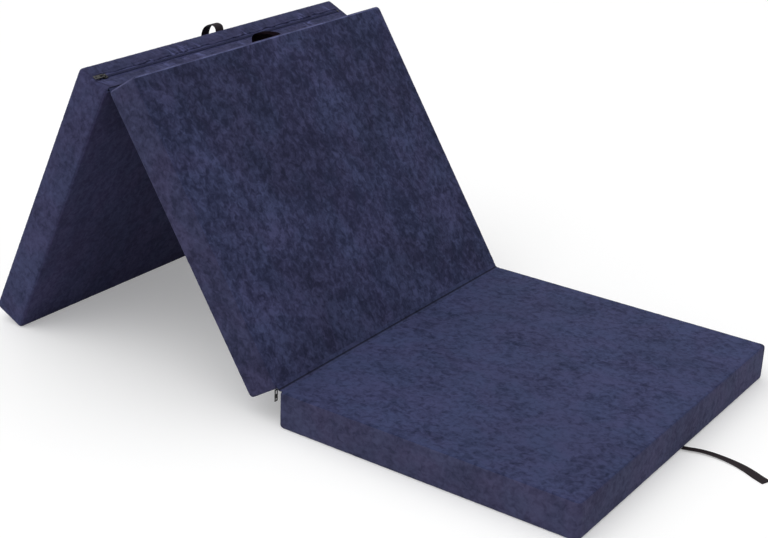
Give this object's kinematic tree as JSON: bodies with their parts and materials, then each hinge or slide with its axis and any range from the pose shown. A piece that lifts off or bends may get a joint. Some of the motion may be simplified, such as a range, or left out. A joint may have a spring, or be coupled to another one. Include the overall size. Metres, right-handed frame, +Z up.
{
  "type": "folding mattress",
  "caption": "Folding foam mattress of hinged slabs in zipped velour covers: opens flat, stacks, or stands as a floor seat with a propped back; webbing straps tie the stack.",
  "frame": {"origin": "on the floor, at the middle of the footprint of the standing object, straps left out", "axes": "+X from the prop panel towards the seat panel's free end, +Y across the width, +Z up"},
  "size_m": [1.5999, 0.8036, 0.6217],
  "materials": {
    "velour": "crushed short pile",
    "velour_side": "crushed short pile, on the side bands",
    "foam": "open cell foam",
    "zip_tape": "woven tape",
    "zip_teeth": "nylon coil",
    "zip_metal": "dull grey",
    "hinge_tape": "sewn tape",
    "webbing": "woven webbing"
  },
  "bodies": {
    "panel_1": {"foam_core_1": "foam", "cover_top_1": "velour", "cover_band_1": "velour_side", "cover_base_1": "velour", "zip_tape_1": "zip_tape", "zip_chain_1": "zip_teeth", "zip_stops_1": "zip_metal", "hinge_tape_1_seat": "hinge_tape", "closure_strap_lower": "webbing"},
    "panel_2": {"foam_core_2": "foam", "cover_top_2": "velour", "cover_band_2": "velour_side", "cover_base_2": "velour", "zip_tape_2": "zip_tape", "zip_chain_2": "zip_teeth", "zip_stops_2": "zip_metal", "hinge_tape_1_back": "hinge_tape", "hinge_tape_2_back": "hinge_tape", "grab_loop": "webbing"},
    "panel_3": {"foam_core_3": "foam", "cover_top_3": "velour", "cover_band_3": "velour_side", "cover_base_3": "velour", "zip_tape_3": "zip_tape", "zip_chain_3": "zip_teeth", "zip_stops_3": "zip_metal", "hinge_tape_2_prop": "hinge_tape", "closure_strap_upper": "webbing"},
    "slider_1": {"zip_slider_1": "zip_metal"},
    "pull_1": {"zip_pull_1": "zip_metal"},
    "slider_2": {"zip_slider_2": "zip_metal"},
    "pull_2": {"zip_pull_2": "zip_metal"},
    "slider_3": {"zip_slider_3": "zip_metal"},
    "pull_3": {"zip_pull_3": "zip_metal"}
  },
  "joints": [
    {"name": "seat_fold", "type": "hinge", "parent": "panel_1", "child": "panel_2", "pos_m": [0.06164, 0, 0.0783], "axis": [0, 1, 0], "range_deg": [-57, 123]},
    {"name": "ridge_fold", "type": "hinge", "parent": "panel_2", "child": "panel_3", "pos_m": [-0.35997, 0, 0.57954], "axis": [0, -1, 0], "range_deg": [-121.22, 58.78], "deforming": ["grab_loop"]},
    {"name": "zip_1_slide", "type": "slide", "parent": "panel_1", "child": "slider_1", "axis": [0, 1, 0], "range_m": [0, 0.7532]},
    {"name": "zip_2_slide", "type": "slide", "parent": "panel_2", "child": "slider_2", "axis": [0, 1, 0], "range_m": [0, 0.7376]},
    {"name": "zip_3_slide", "type": "slide", "parent": "panel_3", "child": "slider_3", "axis": [0, 1, 0], "range_m": [0, 0.7436]},
    {"name": "pull_1_swing", "type": "hinge", "parent": "slider_1", "child": "pull_1", "pos_m": [0.06224, -0.3766, 0.038], "axis": [0, 1, 0], "range_deg": [0, 120]},
    {"name": "pull_2_swing", "type": "hinge", "parent": "slider_2", "child": "pull_2", "pos_m": [0.02751, -0.361, 0.05685], "axis": [0, 1, 0], "range_deg": [-123, 57]},
    {"name": "pull_3_swing", "type": "hinge", "parent": "slider_3", "child": "pull_3", "pos_m": [-0.39652, -0.367, 0.59652], "axis": [-0.9005, 0, 0.4349], "range_deg": [0, 170]}
  ],
  "couplings": [
    {"joint": "pull_2_swing", "follows": "seat_fold", "ratio": -1}
  ]
}
